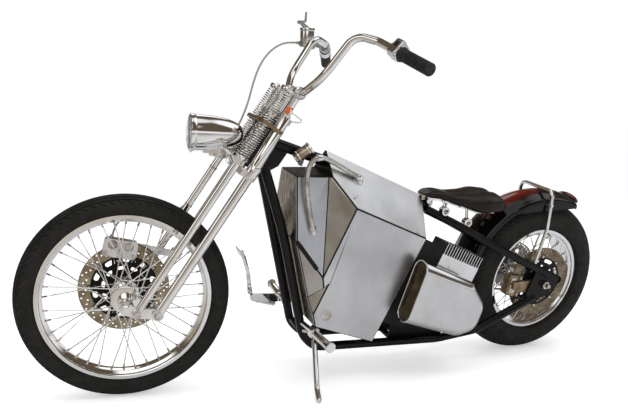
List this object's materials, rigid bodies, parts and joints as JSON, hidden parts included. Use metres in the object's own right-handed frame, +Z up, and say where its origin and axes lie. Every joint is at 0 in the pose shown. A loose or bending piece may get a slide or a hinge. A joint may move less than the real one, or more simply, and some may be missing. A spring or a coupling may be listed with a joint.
{
  "type": "electric chopper motorcycle with a springer fork",
  "caption": "Low rigid-frame chopper with a raked springer fork, wire wheels, a folded-sheet battery case and a side stand it leans on.",
  "frame": {"origin": "on the floor, under the middle of the parked machine", "axes": "+X towards the front wheel, +Y to the rider's left, the side it leans to, +Z up from the floor"},
  "size_m": [2.3277, 0.9728, 1.3547],
  "materials": {
    "amber": "amber",
    "black_frame": "gloss black",
    "case_aluminium": "bare sheet, polished by hand",
    "case_core": "matt black",
    "cast_aluminium": "satin",
    "chrome": "polished chrome",
    "cover_aluminium": "polished",
    "fender_paint": "gloss black fading to dark red on the crown",
    "hose": "black",
    "lens_glass": "clear",
    "motor_black": "satin black",
    "rotor_steel": "brushed",
    "rubber": "black",
    "seat_leather": "gloss black",
    "tail_red": "dark red",
    "tyre": "black, matt",
    "zinc_steel": "satin"
  },
  "bodies": {
    "frame": {"steering_neck": "black_frame", "backbone_tube": "black_frame", "downtubes": "black_frame", "bottom_rails": "black_frame", "upper_stays": "black_frame", "cross_tubes": "black_frame", "upper_panels": "case_aluminium", "side_panels": "case_aluminium", "front_panels": "case_aluminium", "battery_case": "case_core", "motor_block": "motor_black", "motor_cover": "cover_aluminium", "motor_controller": "cast_aluminium", "drive_chain": "zinc_steel", "rear_axle": "chrome", "rear_caliper": "cast_aluminium", "rear_fender": "fender_paint", "fender_strut": "chrome", "tail_lamp": "tail_red", "seat": "seat_leather", "seat_base": "chrome", "foot_pegs": "chrome", "brake_pedal": "chrome", "stand_bracket": "chrome", "main_switch": "chrome", "conduit": "zinc_steel"},
    "fork": {"rockers": "chrome", "rigid_legs": "chrome", "sprung_legs": "chrome", "fork_springs": "chrome", "steering_stem": "chrome", "upper_crown": "chrome", "spring_perch": "chrome", "front_yoke": "chrome", "headlight_shell": "chrome", "headlight_bracket": "chrome", "headlight_lens": "lens_glass", "handlebar": "chrome", "bar_risers": "chrome", "grips": "rubber", "switch_housings": "cast_aluminium", "brake_master": "cast_aluminium", "turn_signals": "amber", "front_axle": "chrome", "front_caliper": "cast_aluminium", "front_brake_hose": "hose"},
    "front_wheel": {"front_tyre": "tyre", "front_wire_wheel": "chrome", "front_brake_rotor": "rotor_steel"},
    "rear_wheel": {"rear_tyre": "tyre", "rear_wire_wheel": "chrome", "rear_brake_rotor": "rotor_steel", "rear_sprocket": "zinc_steel"},
    "side_stand": {"side_stand": "chrome"}
  },
  "joints": [
    {"name": "steering", "type": "hinge", "parent": "frame", "child": "fork", "pos_m": [0.40747, -0.07, 0.86409], "axis": [-0.5155, 0.1415, 0.8451], "range_deg": [-23.5, 40.5]},
    {"name": "front_wheel_spin", "type": "hinge", "parent": "fork", "child": "front_wheel", "pos_m": [0.82231, -0.16968, 0.34284], "axis": [0.1267, 0.988, -0.0881], "continuous": true},
    {"name": "rear_wheel_spin", "type": "hinge", "parent": "frame", "child": "rear_wheel", "pos_m": [-0.8369, -0.16033, 0.32361], "axis": [0.0001, 0.9863, -0.165], "continuous": true},
    {"name": "side_stand_fold", "type": "hinge", "parent": "frame", "child": "side_stand", "pos_m": [0.17717, -0.07673, 0.19357], "axis": [-0.1694, 0.7852, 0.5957], "range_deg": [0, 84]}
  ]
}
